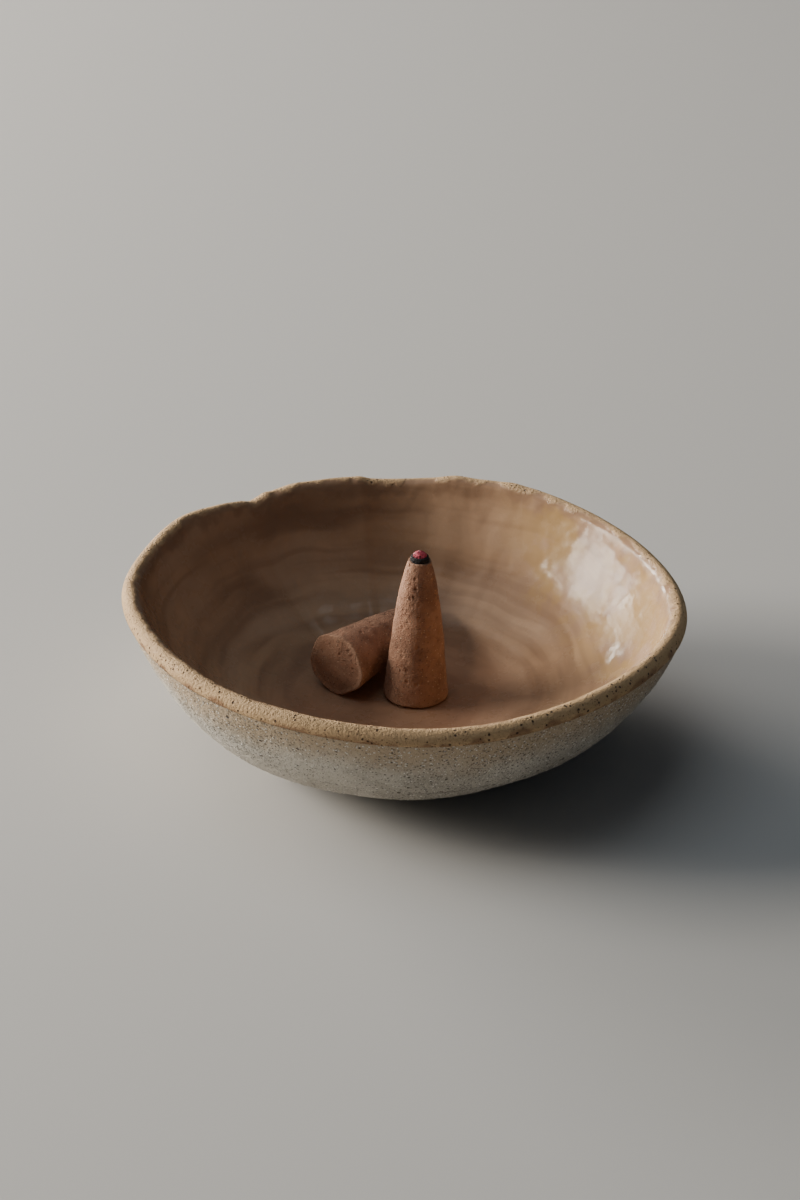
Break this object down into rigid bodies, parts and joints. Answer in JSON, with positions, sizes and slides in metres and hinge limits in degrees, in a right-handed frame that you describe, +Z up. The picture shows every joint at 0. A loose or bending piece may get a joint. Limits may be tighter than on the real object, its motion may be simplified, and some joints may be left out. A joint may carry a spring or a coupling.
{
  "type": "incense burner",
  "caption": "Shallow pinched stoneware bowl with a glazed inside, holding a burning incense cone and a loose unburnt cone on its side.",
  "frame": {"origin": "middle of the bowl's flat foot, on the surface that the bowl stands on", "axes": "+Z up out of the bowl, +X to the right and -Y to the front, as the bowl is seen with the spare cone behind the burning one"},
  "size_m": [0.1082, 0.1061, 0.037],
  "materials": {
    "bare_stoneware": "unglazed, coarse grog with pits and specks, warm grey-white",
    "oatmeal_glaze": "glossy tan glaze with finger ridges and honey mottling, sandy and pinholed over the lip",
    "pressed_incense": "pressed wood powder, matt and granular, terracotta brown",
    "char": "charred powder, matt black",
    "glowing_ember": "glowing ember, crimson-pink with ash flecks"
  },
  "bodies": {
    "bowl": {"stoneware_bowl": "bare_stoneware", "glaze_lining": "oatmeal_glaze"},
    "burning_cone": {"burning_cone": "pressed_incense", "char_ring": "char", "ember": "glowing_ember"},
    "spare_cone": {"spare_cone": "pressed_incense"}
  },
  "joints": [
    {"name": "burning_cone_lift", "type": "slide", "parent": "bowl", "child": "burning_cone", "axis": [0, 0, 1], "range_m": [0, 0.04]},
    {"name": "spare_cone_lift", "type": "slide", "parent": "bowl", "child": "spare_cone", "axis": [0, 0, 1], "range_m": [0, 0.04]}
  ]
}
